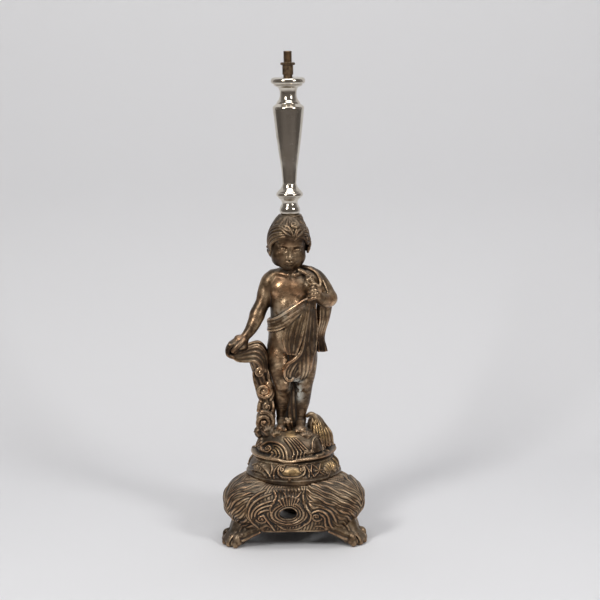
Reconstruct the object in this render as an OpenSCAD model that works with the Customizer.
/* [Plinth] */
// Height of the plinth, from the floor to its top platform
plinth_h = 73; // [68:1:80]
// Distance from the axis to the skirt at the middle of a side
side_r = 62; // [59:1:66]
// Distance from the axis to the bulge at a corner
corner_r = 89.5; // [86:0.5:93]
// Clear height under the skirt between two feet
skirt_gap = 20; // [16:0.5:24]
// Thickness of every cast wall
wall = 3.5; // [2.5:0.5:4.5]
// Half the width of a paw
paw_w = 14; // [11:0.5:16]
// Height where the leg of a paw goes into its corner
paw_h = 30; // [26:0.5:34]
// Distance from the axis to the middle of a paw
paw_r = 82; // [79:0.5:86]
// How far the toes reach out from the middle of a paw
toe_out = 9; // [7:0.5:10]
// Radius of the flat sole under each paw
sole_r = 10; // [7:0.5:11]
// Width of the oval hole in the front cartouche
front_hole_w = 20; // [14:1:24]
// Height of the oval hole in the front cartouche
front_hole_h = 12; // [8:0.5:14]
// Height of the middle of that hole above the floor
front_hole_z = 43; // [38:0.5:47]
// How far the casting sets that hole to the side
front_hole_x = -6.5; // [-8:0.5:6]
/* [Drum] */
// Largest radius of the drum, at its lower roll
drum_r = 56.5; // [54:0.5:60]
// Height of the drum
drum_h = 26; // [22:1:30]
/* [Mound] */
// Radius of the lip around the foot of the mound
lip_r = 49; // [45:0.5:52]
// Height of the mound, from the drum to the soles of the figure
mound_h = 32; // [28:1:38]
// Height of the rock beside the left foot, above the soles
rock_h = 14; // [8:1:20]
/* [Figure] */
// Height of the figure, from its soles to the seat on its crown
figure_h = 253.5; // [235:0.5:270]
// Radius of the neck where the head casting plugs into the body
neck_r = 12.5; // [11:0.5:14]
// Radius of the flat seat on the crown
crown_r = 13.5; // [12:0.5:15]
// Gap left by the solder between two castings
seam = 0.15; // [0.1:0.05:0.3]
/* [Column] */
// Length of the tapered shaft
shaft_h = 92; // [80:1:110]
// Radius of the shaft at its shoulder
shaft_top_r = 18.1; // [16:0.1:20]
// Radius of the shaft at its foot
shaft_foot_r = 7.9; // [7:0.1:9.5]
// Wall of the spun shaft
shaft_wall = 1.2; // [0.8:0.1:1.8]
// Largest radius of the lower knop
knop_r = 15.4; // [13:0.1:18]
// Height of the lower knop
knop_h = 23; // [20:0.5:27]
// Radius of the round collar that sits on the crown
collar_r = 11.9; // [11:0.1:13]
// Height of that collar
collar_h = 13; // [11:0.5:16]
// Narrowest radius of the neck under the cap
neck_spool_r = 9.5; // [8:0.1:11]
// Height of the neck under the cap
neck_spool_h = 18; // [15:0.5:22]
// Radius of the cap at the top of the column
cap_r = 19.8; // [17:0.1:23]
// Height of the cap
cap_h = 12; // [10:0.5:14]
/* [Pipe and fasteners] */
// Outside diameter of the plain lamp pipe
pipe_d = 10.3; // [10:0.1:10.8]
// Outside diameter of the free thread at the top of the pipe
thread_d = 9.8; // [9.6:0.1:9.9]
// Bore of the lamp pipe, where the wires run
pipe_bore_d = 6.6; // [6:0.1:7]
// Length of thread left free above the lock nut for a socket
thread_out = 12.8; // [10:0.1:16]
// Radial gap between the pipe and the holes that it passes through
pipe_gap = 0.3; // [0.2:0.05:0.6]
// Bare pipe that shows between the cap and the coupling
bare_h = 2.4; // [1.5:0.1:4]
// Outside diameter of the coupling on top of the column
coupling_d = 12.5; // [12:0.1:14]
// Height of the coupling
coupling_h = 10.8; // [9:0.1:14]
// Width across the corners of the thin lock nut
lock_nut_w = 16.8; // [15:0.1:19]
// Thickness of the thin lock nut
lock_nut_h = 3.2; // [2.5:0.1:4.5]
// Width across the corners of the nut under the plinth
clamp_nut_w = 19; // [17:0.5:22]
// Thickness of the nut under the plinth
clamp_nut_h = 6; // [4:0.5:8]
// Radius of the steel washer under the plinth
washer_r = 15; // [13:0.5:20]
// Thickness of that washer
washer_h = 2; // [1.5:0.25:3]
// Radius of the steel bush in the crown of the head
bush_r = 8; // [7.5:0.1:9]
// Length of that bush
bush_h = 10; // [8:0.5:14]
// Diameter of the screws that hold the feet to the mound
screw_d = 4; // [3:0.5:5]
/* [Hidden] */
$fn = 64;

bronze = [0.36, 0.27, 0.18];
nickel = [0.75, 0.73, 0.68];
brass = [0.45, 0.33, 0.17];
steel = [0.55, 0.55, 0.56];

pipe_r = pipe_d / 2;
hole_r = pipe_r + pipe_gap;
thread_r = thread_d / 2;
// Inside a nut or the coupling the thread is drawn at its root, this much below its outside radius
thread_depth = 0.4;
root_r = thread_r - thread_depth;
nut_bore_r = root_r + 0.05;
// Run-out between the lock nut and the free thread
run_out = 0.3;
// The origin is under the middle of the box round the lamp, so the axis of the pipe stands in front of it
toe_end = 5.2;
back_reach = paw_r + toe_out + toe_end;
front_reach = (side_r + corner_r) / 2 * cos(30);
axis_y = (front_reach - back_reach) / 2;
drum_z = plinth_h;
mound_z = drum_z + drum_h;
sole_z = mound_z + mound_h;
// The tables of the figure are drawn at this height and stretch with figure_h
drawn_at = 253.5;
stretch = figure_h / drawn_at;
crown_z = sole_z + figure_h;
knop_z = crown_z + collar_h;
shaft_z = knop_z + knop_h;
neck_z = shaft_z + shaft_h;
cap_z = neck_z + neck_spool_h;
coupling_z = cap_z + cap_h + bare_h;
lock_nut_z = coupling_z + coupling_h;
pipe_top = lock_nut_z + lock_nut_h + thread_out;
web_z = plinth_h - wall;
nut_z = web_z - washer_h - clamp_nut_h;
pipe_foot = nut_z - 4;

// Smooth curve through four rows of numbers, at t between the middle two
function curve(a, b, c, d, t) =
    0.5 * (2 * b + (c - a) * t + (2 * a - 5 * b + 4 * c - d) * t * t + (3 * b - a - 3 * c + d) * t * t * t);
// The rows of a table, with steps - 1 more rows between each two
function smooth(rows, steps) = let (last = len(rows) - 1) [
    for (i = [0:last - 1], j = [0:steps - 1])
        curve(rows[max(i - 1, 0)], rows[i], rows[i + 1], rows[min(i + 2, last)], j / steps),
    rows[last]];
function unit(v) = v / norm(v);
function place(row) = [row[0], row[1], row[2]];
// Direction of travel at row i of a table of stations
function travel(rows, i) = unit(place(rows[min(i + 1, len(rows) - 1)]) - place(rows[max(i - 1, 0)]));
// One ring of a limb: an ellipse square to the travel, whose second axis leans to the guide direction
// Folds run along the limb as ridges: folds[0] is their number, folds[1] their rise as a share of the radius
function ring(centre, along, guide, half_w, half_d, sides, folds) =
    let (across = unit(cross(guide, along)), up = cross(along, across))
    [for (k = [0:sides - 1]) let (a = 360 * k / sides, swell = 1 + folds[1] * cos(folds[0] * a))
        centre + swell * (half_w * cos(a) * across + half_d * sin(a) * up)];
// Rings of a limb through stations [x, y, z, half width, half depth], with domed ends
function limb_rings(rows, sides, guide, grow, folds) = let (
    last = len(rows) - 1, dome = [72, 38],
    tip = function (i, sign, a) let (row = rows[i], t = travel(rows, i), h = min(row[3], row[4]) + grow)
        ring(place(row) + sign * t * h * sin(a), t, guide, (row[3] + grow) * cos(a), (row[4] + grow) * cos(a),
            sides, folds))
    concat(
        [for (a = dome) tip(0, -1, a)],
        [for (i = [0:last])
            ring(place(rows[i]), travel(rows, i), guide, rows[i][3] + grow, rows[i][4] + grow, sides, folds)],
        [for (a = [38, 72]) tip(last, 1, a)]);

// Closed solid through rings of the same number of points
module loft(rings) {
    n = len(rings[0]);
    last = len(rings) - 1;
    sides = [for (i = [0:last - 1], j = [0:n - 1]) let (a = i * n + j, b = i * n + (j + 1) % n)
        each [[a, a + n, b + n], [a, b + n, b]]];
    foot = [for (j = [1:n - 2]) [0, j, j + 1]];
    head = [for (j = [1:n - 2]) [last * n, last * n + j + 1, last * n + j]];
    polyhedron([for (r = rings) each r], concat(sides, foot, head), convexity = 10);
}

// Limb through a table of stations
module limb(rows, sides = 12, steps = 2, guide = [0, 1, 0], grow = 0, folds = [0, 0]) {
    loft(limb_rings(smooth(rows, steps), sides, guide, grow, folds));
}

// Puts a shape of the figure's tables on the mound
module on_mound() {
    translate([0, 0, sole_z]) scale(stretch) children();
}

// Puts a piece drawn round the axis of the pipe in the shared frame
module in_frame() {
    translate([0, axis_y, 0]) children();
}

// Hole for the lamp pipe
module pipe_hole(low, high) {
    translate([0, 0, low]) cylinder(r = hole_r, h = high - low);
}

// Plinth
// Each row is a share of the way from the skirt to the top, inset of the side from side_r, inset of the corner
plinth_rows = [[0, 3, 11], [0.06, 0.5, 11.5], [0.2, -0.5, 8.5], [0.385, 0, 1], [0.57, 1.5, 0], [0.716, 4, 0],
    [0.84, 6.5, 4.5], [0.938, 8, 10.5], [1, 8.5, 18.5]];
plinth_sides = 72;
plinth_corners = [90, 210, 330];
// How much of a corner there is in a direction, from 0 at the middle of a side to 1
function corner_share(a) = (1 - sin(3 * a)) / 2;
function plinth_radius(row, a, inset) =
    (side_r - row[1]) * (1 - corner_share(a)) + (corner_r - row[2]) * corner_share(a) - inset;
// Rings of the plinth; the hollow is the same form drawn inset, and it runs out below the skirt
function plinth_rings(rows, inset, sides) = [for (row = rows)
    let (z = skirt_gap + row[0] * (plinth_h - skirt_gap) - (row[0] == 0 ? 2 : 1) * inset)
    [for (k = [0:sides - 1]) let (a = 360 * k / sides, r = plinth_radius(row, a, inset))
        [r * cos(a), r * sin(a), z]]];

// Lion's paw that points along +X, its heel inside the leg and its flat sole at z = 0
module paw() {
    leg = [[-14, 0, paw_h, 13, 15], [-7, 0, paw_h * 0.78, 13, 13.5], [-2, 0, paw_h * 0.5, paw_w - 1, 10]];
    limb(leg, 12, 1);
    pad = [[-6, 0, 8, paw_w - 1, 7.7], [3, 0, 7.2, paw_w, 6.9], [toe_out, 0, 6, paw_w - 2, 5.2]];
    limb(pad, 12, 1, [0, 0, 1]);
    toes = 4;
    for (i = [0:toes - 1]) {
        side = (i - (toes - 1) / 2) * paw_w * 0.52;
        reach = toe_out * (1 - pow(side / paw_w, 2));
        translate([reach, side, 5.2]) sphere(r = 4.6, $fn = 24);
    }
    cylinder(r = sole_r, h = 3);
}

module plinth_shell() {
    color(bronze) difference() {
        union() {
            loft(plinth_rings(smooth(plinth_rows, 2), 0, plinth_sides));
            for (a = plinth_corners) rotate(a) translate([paw_r, 0, 0]) paw();
        }
        loft(plinth_rings(plinth_rows, wall, 36));
        translate([-corner_r, -corner_r, -plinth_h]) cube([2 * corner_r, 2 * corner_r, plinth_h]);
        pipe_hole(0, plinth_h + 1);
        translate([front_hole_x, 0, front_hole_z]) scale([front_hole_w / front_hole_h, 1, 1]) rotate([90, 0, 0])
            cylinder(d = front_hole_h, h = side_r + 10);
    }
}

// Drum: a turned ring with a roll at its foot, a hollow belly and a flat top
module drum_shell() {
    roll = 5;
    top_r = drum_r - 10.5;
    outer = [for (a = [-90:15:60]) [drum_r - roll + roll * cos(a), roll + roll * sin(a)]];
    rim = [[drum_r - 4, drum_h * 0.48], [drum_r - 4.6, drum_h * 0.6], [drum_r - 6, drum_h * 0.72],
        [drum_r - 8.5, drum_h * 0.82], [top_r, drum_h]];
    inner = [[hole_r, drum_h], [hole_r, drum_h - wall], [top_r - wall, drum_h - wall],
        [drum_r - 4 - wall, drum_h * 0.5], [drum_r - roll - wall, 0]];
    color(bronze) translate([0, 0, drum_z]) rotate_extrude($fn = 96) polygon(concat(outer, rim, inner));
}

// Mound
// Each row is height as a share of mound_h and the inset from lip_r
mound_rows = [[0, 2.5], [0.05, 0.5], [0.11, 0], [0.17, 2], [0.24, 5.5], [0.4, 8], [0.58, 10], [0.76, 12.5],
    [0.9, 17], [1, 25]];
mound_sides = 48;
// Rocky wobble of the outline, strongest halfway up
function rock(a, share) = (2.2 * sin(4 * a + 40) + 1.4 * sin(7 * a + 160 * share)) * sin(180 * min(share * 1.3, 1));
function mound_rings(rows, inset, drop, sides) = [for (row = rows) [for (k = [0:sides - 1])
    let (a = 360 * k / sides, r = lip_r - row[1] - inset + rock(a, row[0]))
    [r * cos(a), r * 0.95 * sin(a), mound_z + row[0] * mound_h - drop]]];
screw_spots = [[-12.5, -4], [9, -8]];
screw_in = 9;

module mound_shell() {
    side_rock = [[27, 0, -17, 11, 18], [27.5, 0, -8, 10.5, 17], [27, 1, rock_h - 13, 10, 15.5],
        [26.5, 1, rock_h - 7, 8.5, 13]];
    back_rock = [[-4, 26, -21, 20, 8], [-3, 23, -10, 17, 7], [-2, 19, -3, 12, 5]];
    color(bronze) difference() {
        union() {
            loft(mound_rings(smooth(mound_rows, 2), 0, 0, mound_sides));
            translate([0, 0, sole_z]) {
                limb(side_rock, 14, 1);
                limb(back_rock, 14, 1);
            }
        }
        loft([for (row = [[0, 46], [0.3, 38], [0.55, 33], [0.72, 24]]) [for (k = [0:23])
            [(row[1] - 49 + lip_r - wall) * cos(15 * k), (row[1] - 49 + lip_r - wall) * 0.95 * sin(15 * k),
             mound_z - 0.01 + row[0] * mound_h]]]);
        pipe_hole(mound_z, crown_z);
        screw_holes(screw_d / 2 + 0.1);
        on_mound() limb(stump_rows, 14, 1, grow = seam);
    }
}

// Holes for the screws that come up through the mound into the feet
module screw_holes(r) {
    for (p = screw_spots) translate([p[0], p[1], mound_z]) cylinder(r = r, h = mound_h + screw_in, $fn = 24);
}

// Figure: tables of stations [x, y, z, half width, half depth], z above the soles
torso = [[0, 2, 88, 23, 15], [0, 2.5, 96, 27, 19], [0, 2.5, 104, 28, 20.5], [0, 1, 115, 26.5, 20],
    [0, -1, 127, 25.5, 20], [0, -1, 140, 25.3, 19], [0, 0, 152, 26, 18], [0, 1, 164, 27.5, 17.5],
    [0, 2, 175, 28, 16.5], [0, 3, 182.5, 24.5, 14], [0, 3, 187.5, 16.5, 11]];
right_leg = [[-13, 1, 96, 15, 17], [-14, -3, 84, 14.5, 16], [-12.5, -9, 68, 12.5, 13.5], [-10.5, -12, 54, 10, 11],
    [-11.5, -7, 43, 8.8, 9.6], [-12.5, -3, 32, 8.4, 9.4], [-13, 0, 20, 6.6, 7.4], [-13, 1, 10, 5.8, 6.6]];
left_leg = [[13, 1, 96, 15, 17], [14.5, -1, 84, 14.5, 16.5], [14.5, -4, 68, 12.5, 14], [13.5, -7, 54, 10.2, 11],
    [12.5, -4, 42, 9.4, 10], [11, -2, 30, 8.4, 8.8], [9.5, -2, 18, 6.4, 7], [9, -2, 9, 5.8, 6.4]];
right_foot = [[-13, 3, 5.4, 5.6, 5.2], [-13, -6, 5.4, 6.2, 5.2], [-13.2, -15, 4, 7, 3.8], [-13.5, -22, 3.2, 6, 3]];
left_foot = [[9, 0, 5.4, 5.6, 5.2], [9, -10, 5.2, 6.2, 5], [8.8, -20, 3.8, 7, 3.7], [8.5, -28, 3.2, 6, 3]];
// Cloth that hangs from below the left hand over the hip and thigh, and the cloth that falls between the legs
thigh_cloth = [[17, -12.5, 144, 8, 9], [14, -6.5, 132, 13, 15.5], [12, -2, 116, 17.5, 20], [12.5, -4, 100, 18, 20],
    [11, -7, 84, 17, 17.5], [8, -9, 70, 14.5, 14], [5, -11, 60, 10, 9]];
fall_cloth = [[4, 3, 96, 20, 12], [2, 2, 72, 14, 11], [0, 1, 46, 10, 9.5], [-1, 1, 20, 10, 9], [-1, 1, 2, 10, 9]];
// Sash from the left hand across the belly and round the back: stations [x, y, z, half thickness, half height]
sash = [[19.5, -18.4, 155.5, 3.4, 6], [10, -20.5, 147, 3.6, 7.5], [-2, -20.8, 137, 3.8, 8],
    [-13, -17.5, 129.5, 4, 7.5], [-23, -9.5, 124.5, 4, 6.8], [-25.8, 2, 123.5, 3.6, 6.6], [-20, 14, 126, 3.6, 6.6],
    [-5, 20, 133, 3.6, 6.5], [11, 18.5, 144, 3.6, 6.2], [21, 11.5, 155, 3.5, 6]];

module torso_form(grow = 0) {
    limb(torso, 20, 1, grow = grow);
}

module sash_form(grow = 0) {
    limb(sash, 28, 1, [0, 0, 1], grow, [9, 0.12]);
}

module right_leg_form(grow = 0) {
    limb(right_leg, 12, 2, grow = grow);
}

module thigh_cloth_form(grow = 0) {
    limb(thigh_cloth, 36, 1, grow = grow, folds = [11, 0.05]);
}

// Body, legs and drapery as one outer form
module body_form() {
    torso_form();
    right_leg_form();
    limb(left_leg, 12, 2);
    limb(right_foot, 10, 1, [0, 0, 1]);
    limb(left_foot, 10, 1, [0, 0, 1]);
    thigh_cloth_form();
    limb(fall_cloth, 18, 1, folds = [6, 0.06]);
    sash_form();
}

// Sockets in the body for the neck and the two arms
module neck_plug(grow = 0) {
    neck_low = 184;
    translate([0, 1, neck_low - grow]) cylinder(r = neck_r / stretch + grow, h = 30);
}

module figure_body() {
    hollow_r = 13.5;
    hollow_low = 98;
    hollow_high = 170;
    color(bronze) difference() {
        on_mound() difference() {
            body_form();
            translate([0, 0, hollow_low]) cylinder(r = hollow_r, h = hollow_high - hollow_low);
            neck_plug(seam);
            translate([-60, -60, -20]) cube([120, 120, 20]);
        }
        pipe_hole(sole_z - 1, crown_z);
        screw_holes(screw_d / 2);
    }
}

// Head: a ball in polar form with rounded bumps, each [yaw, pitch, spread, rise]
// Yaw 0 faces the front; a plus yaw turns to the figure's left
head_c = [-2.3, -2, 221];
head_axes = [24, 26, 29.5];
head_bumps = [[8, -14, 9, 4.6], [8, -4, 10, 0.7], [-24, -16, 17, 1.8], [40, -16, 17, 1.8], [8, -34, 12, 0.9],
    [8, -58, 16, 3.4], [-12, 2, 9, -1.8], [28, 2, 9, -1.8], [8, 18, 24, 1.8], [-75, 12, 34, 4.4],
    [80, 14, 30, 2.6], [84, -8, 16, 2], [-60, 42, 28, 5], [60, 42, 26, 3.6], [180, 20, 50, 2.4],
    [118, 0, 26, 2.2], [-118, 0, 26, 2.2], [8, 46, 24, 3]];
function facing(yaw, pitch) = [sin(yaw) * cos(pitch), -cos(yaw) * cos(pitch), sin(pitch)];
function bump_sum(d) = [for (b = head_bumps) b[3]
    * exp(-pow(acos(max(-1, min(1, d * facing(b[0], b[1])))) / b[2], 2))] * [for (b = head_bumps) 1];
function head_radius(d) =
    1 / norm([d[0] / head_axes[0], d[1] / head_axes[1], d[2] / head_axes[2]]) + bump_sum(d);

module head_form(grow = 0) {
    turns = 32;
    bands = 18;
    loft([for (i = [0:bands]) let (pitch = -88 + 176 * i / bands) [for (k = [0:turns - 1])
        let (d = facing(90 + 360 * k / turns, pitch)) head_c + (head_radius(d) + grow) * d]]);
    neck = [[0, 1, 184, 12.5, 12.5], [0, 0.5, 196, 11, 12], [-1, 0, 208, 11.5, 13]];
    limb(neck, 16, 2, grow = grow);
}

module figure_head() {
    head_low = 186;
    crown_low = 240;
    color(bronze) difference() {
        on_mound() union() {
            intersection() {
                head_form();
                translate([-40, -40, head_low]) cube([80, 80, drawn_at - head_low]);
            }
            intersection() {
                neck_plug();
                translate([0, 1, 184]) cylinder(r = neck_r / stretch, h = 16);
            }
            translate([0, 0, crown_low])
                cylinder(r1 = 20, r2 = crown_r / stretch, h = drawn_at - crown_low, $fn = 48);
        }
        pipe_hole(sole_z, crown_z + 1);
        translate([0, 0, crown_z - bush_h]) cylinder(r = bush_r + seam, h = bush_h + 1);
        on_mound() translate(head_c) sphere(r = 16);
    }
}

// Right arm, which hangs to the stump, and its hand over the crest
right_arm_rows = [[-20, 2, 180, 9, 9.5], [-25, 2, 174, 9.8, 10.5], [-29.5, 0, 163, 9.4, 10], [-33, -3, 151, 8.5, 9],
    [-38, -6, 141, 8.7, 8.8], [-43, -10, 129, 8.4, 8], [-48, -13, 120, 7, 6.6], [-53, -16, 114, 5.8, 5.4]];
right_palm = [[-52, -15, 113.5, 6.2, 5.6], [-59, -17, 108, 8.8, 6.2], [-66, -18.5, 103.5, 10.2, 6.2],
    [-70, -19, 101, 9.6, 5.4]];
right_thumb = [[-58, -23.5, 107, 3.2, 3.2], [-63, -27.5, 103, 3, 3], [-66.5, -28.5, 98.5, 2.7, 2.7]];
function right_finger(y) = [[-70, y, 102, 3.2, 3.2], [-74, y, 98, 3.1, 3.1], [-73, y, 93, 2.9, 2.9],
    [-67, y, 92, 2.7, 2.7]];

module right_hand_form(grow = 0) {
    limb(right_palm, 10, 1, [0, 0, 1], grow);
    limb(right_thumb, 8, 1, grow = grow);
    for (y = [-26.5, -21.4, -16.3, -11.4]) limb(right_finger(y), 8, 1, grow = grow);
}

module right_arm() {
    color(bronze) on_mound() difference() {
        union() {
            limb(right_arm_rows, 12, 2);
            right_hand_form();
        }
        torso_form(seam);
    }
}

// Left arm, bent across the chest, with the hand that gathers the cloth
left_arm_rows = [[21, 3, 182, 10, 10.5], [28, 1, 177, 11.5, 12], [34, -1, 170, 11.2, 12], [39.5, -3, 162.5, 10.4, 11],
    [43, -6, 156, 9.8, 10]];
left_forearm_rows = [[43.5, -7, 155.5, 9.4, 9.4], [37, -13, 154, 8.4, 8.6], [31, -19.5, 156.5, 7.2, 7.2],
    [26, -24.5, 160.5, 5.6, 5.8]];
left_palm = [[27, -24, 160, 5.4, 5.4], [23, -25.5, 163.5, 6.8, 4.8], [20.5, -25.5, 166, 6.4, 4.6]];
left_thumb = [[27, -28, 166, 2.6, 2.6], [25, -30, 171, 2.4, 2.4], [21, -29.5, 173.5, 2.1, 2.1]];
function left_finger(z) = [[23, -27.5, z, 2.6, 2.6], [18.5, -28, z - 1, 2.4, 2.4], [15.5, -25.5, z - 2.5, 2.2, 2.2]];

module left_arm_form(grow = 0) {
    limb(left_arm_rows, 14, 2, grow = grow);
    limb(left_forearm_rows, 12, 1, [0, 0, 1], grow);
}

module left_arm() {
    color(bronze) on_mound() difference() {
        union() {
            left_arm_form();
            limb(left_palm, 10, 1, [0, 0, 1]);
            limb(left_thumb, 8, 1);
            for (z = [159.5, 163.8, 168, 172]) limb(left_finger(z), 8, 1, [0, 0, 1]);
        }
        torso_form(seam);
        sash_form(seam);
        thigh_cloth_form(seam);
    }
}

// Tail of cloth that hangs from the left forearm
drape_rows = [[39, -5, 147, 9, 7], [38, -3, 139, 8.5, 6.5], [36.5, 0, 127, 7.6, 6.2], [33.5, 2, 115, 6.4, 5.4],
    [32, 2, 105, 6, 5], [34.6, 2, 97, 5.8, 5], [35.4, 2, 91, 6, 4.6]];

module side_drape() {
    color(bronze) on_mound() difference() {
        limb(drape_rows, 14, 2);
        left_arm_form(seam);
        torso_form(seam);
        sash_form(seam);
        thigh_cloth_form(seam);
    }
}

// Stump of scrolls that the right hand rests on
stump_rows = [[-33.5, -1, -6, 10, 12], [-32.5, -1, 10, 10.5, 12], [-29.5, -1, 27, 9.6, 10.5], [-31, 0, 42, 10, 10.5],
    [-34, 0, 58, 10.4, 10.5], [-37.5, -1, 73, 11, 11], [-40.5, -3, 86, 11.6, 11.5], [-41.5, -5, 95, 9.5, 9.5]];
crest_rows = [[-41, -6, 92, 11, 10], [-50, -11, 90, 10.5, 9.5], [-58, -15, 89, 8.6, 7], [-65, -17.5, 88.5, 6.5, 4.5]];

// Scroll that winds in from its rim, as a tapering tube: centre, outer radius, tube radius, turns, start
function spiral(c, r, tube, turns, start) = let (steps = 16) [for (i = [0:steps])
    let (share = i / steps, a = start - 360 * turns * share, here = r * (1 - 0.72 * share),
        thick = tube * (1 - 0.45 * share))
    [c[0] + here * cos(a), c[1] - 2.5 * share, c[2] + here * sin(a), thick, thick]];
volutes = [[[-34.5, -12, 11], 9, 2.4, 1.4, 90], [[-31.5, -9.5, 47], 7.4, 1.9, 1.25, 60]];

module scroll_stump() {
    color(bronze) on_mound() difference() {
        union() {
            limb(stump_rows, 14, 1);
            limb(crest_rows, 12, 1, [0, 0, 1]);
            for (v = volutes) limb(spiral(v[0], v[1], v[2], v[3], v[4]), 8, 1);
        }
        right_hand_form(seam);
        right_leg_form(seam);
    }
}

// Column: turned shells stacked on the pipe
module turned(outline, low) {
    translate([0, 0, low]) rotate_extrude($fn = 96) polygon(concat([[hole_r, 0]], outline,
        [[hole_r, outline[len(outline) - 1][1]]]));
}

// Steel bush that centres the pipe in the crown
module crown_bush() {
    color(steel) translate([0, 0, crown_z - bush_h]) difference() {
        cylinder(r = bush_r, h = bush_h);
        translate([0, 0, -1]) cylinder(r = hole_r, h = bush_h + 2);
    }
}

module seat_collar() {
    throat = collar_r - 2.8;
    color(nickel) turned(smooth([[collar_r - 2.2, 0], [collar_r - 0.6, collar_h * 0.18], [collar_r, collar_h * 0.42],
        [collar_r - 0.9, collar_h * 0.68], [throat + 0.3, collar_h * 0.88], [throat, collar_h]], 4), crown_z);
}

module lower_knop() {
    throat = collar_r - 2.8;
    color(nickel) turned(smooth([[throat, 0], [throat + 0.9, knop_h * 0.14], [knop_r - 3, knop_h * 0.29],
        [knop_r - 1.4, knop_h * 0.34], [knop_r, knop_h * 0.44], [knop_r - 0.4, knop_h * 0.52],
        [knop_r - 2, knop_h * 0.6], [shaft_foot_r + 2.6, knop_h * 0.74], [shaft_foot_r + 0.5, knop_h * 0.9],
        [shaft_foot_r, knop_h]], 4), knop_z);
}

// Spun shaft: thin wall, with an end ring at each end that rides on the pipe
module tapered_shaft() {
    rim_h = 4;
    outer = smooth([[shaft_foot_r, 0], [shaft_foot_r + 1.6, shaft_h * 0.17],
        [shaft_foot_r + (shaft_top_r - shaft_foot_r) * 0.72, shaft_h * 0.63], [shaft_top_r - 0.2, shaft_h * 0.91],
        [shaft_top_r, shaft_h * 0.945], [shaft_top_r - 1, shaft_h * 0.972], [neck_spool_r + 3.9, shaft_h]], 5);
    hollow = [for (i = [len(outer) - 1:-1:0]) let (p = outer[i])
        if (p[1] > rim_h && p[1] < shaft_h - rim_h && p[0] - shaft_wall > hole_r + 0.5) [p[0] - shaft_wall, p[1]]];
    color(nickel) translate([0, 0, shaft_z]) rotate_extrude($fn = 96) polygon(concat([[hole_r, 0]], outer,
        [[hole_r, shaft_h], [hole_r, shaft_h - rim_h]], hollow, [[hole_r, hollow[len(hollow) - 1][1]]]));
}

module neck_spool() {
    foot = neck_spool_r + 3.9;
    color(nickel) turned(smooth([[foot, 0], [foot - 0.6, neck_spool_h * 0.1], [foot - 2.4, neck_spool_h * 0.26],
        [neck_spool_r + 0.2, neck_spool_h * 0.46], [neck_spool_r, neck_spool_h * 0.6],
        [neck_spool_r + 0.6, neck_spool_h * 0.82], [neck_spool_r + 2, neck_spool_h]], 4), neck_z);
}

module column_cap() {
    color(nickel) turned(smooth([[neck_spool_r + 2, 0], [cap_r - 5, cap_h * 0.14], [cap_r - 3.4, cap_h * 0.24],
        [cap_r - 3.2, cap_h * 0.32], [cap_r - 1.2, cap_h * 0.4], [cap_r, cap_h * 0.6], [cap_r - 0.8, cap_h * 0.86],
        [cap_r - 3.4, cap_h]], 4), cap_z);
}

// Round coupling screwed on the thread above the cap
module pipe_coupling() {
    color(brass) translate([0, 0, coupling_z]) difference() {
        cylinder(d = coupling_d, h = coupling_h);
        translate([0, 0, -1]) cylinder(r = nut_bore_r, h = coupling_h + 2);
    }
}

// Hexagonal nut on the thread of the pipe, w across the corners
module hex_nut(w, h) {
    difference() {
        rotate(30) cylinder(d = w, h = h, $fn = 6);
        translate([0, 0, -1]) cylinder(r = nut_bore_r, h = h + 2);
    }
}

module lock_nut() {
    color(brass) translate([0, 0, lock_nut_z]) hex_nut(lock_nut_w, lock_nut_h);
}

module clamp_nut() {
    color(steel) translate([0, 0, nut_z]) hex_nut(clamp_nut_w, clamp_nut_h);
}

module clamp_washer() {
    color(steel) translate([0, 0, web_z - washer_h]) difference() {
        cylinder(r = washer_r, h = washer_h);
        translate([0, 0, -1]) cylinder(r = hole_r, h = washer_h + 2);
    }
}

// Lamp pipe: plain between the two threads, bored right through
module lamp_pipe() {
    free_z = lock_nut_z + lock_nut_h;
    color(brass) difference() {
        union() {
            translate([0, 0, pipe_foot]) cylinder(r = root_r, h = pipe_top - pipe_foot);
            translate([0, 0, web_z]) cylinder(r = pipe_r, h = coupling_z - web_z);
            translate([0, 0, free_z + run_out]) cylinder(r = thread_r, h = thread_out - run_out);
        }
        translate([0, 0, pipe_foot - 1]) cylinder(d = pipe_bore_d, h = pipe_top - pipe_foot + 2);
    }
}

// Pan-head screw that comes up from inside the mound into a foot
module foot_screw(spot) {
    head_h = 2.6;
    seat = mound_z + mound_h * 0.72;
    color(steel) translate([spot[0], spot[1], seat - head_h]) {
        cylinder(d = screw_d * 2, h = head_h, $fn = 24);
        cylinder(d = screw_d - 0.1, h = head_h + mound_h * 0.28 + screw_in - 1, $fn = 24);
    }
}

module foot_screw_right() {
    foot_screw(screw_spots[0]);
}

module foot_screw_left() {
    foot_screw(screw_spots[1]);
}

in_frame() plinth_shell();
in_frame() drum_shell();
in_frame() mound_shell();
in_frame() scroll_stump();
in_frame() figure_body();
in_frame() figure_head();
in_frame() right_arm();
in_frame() left_arm();
in_frame() side_drape();
in_frame() crown_bush();
in_frame() seat_collar();
in_frame() lower_knop();
in_frame() tapered_shaft();
in_frame() neck_spool();
in_frame() column_cap();
in_frame() pipe_coupling();
in_frame() lock_nut();
in_frame() lamp_pipe();
in_frame() clamp_washer();
in_frame() clamp_nut();
in_frame() foot_screw_right();
in_frame() foot_screw_left();
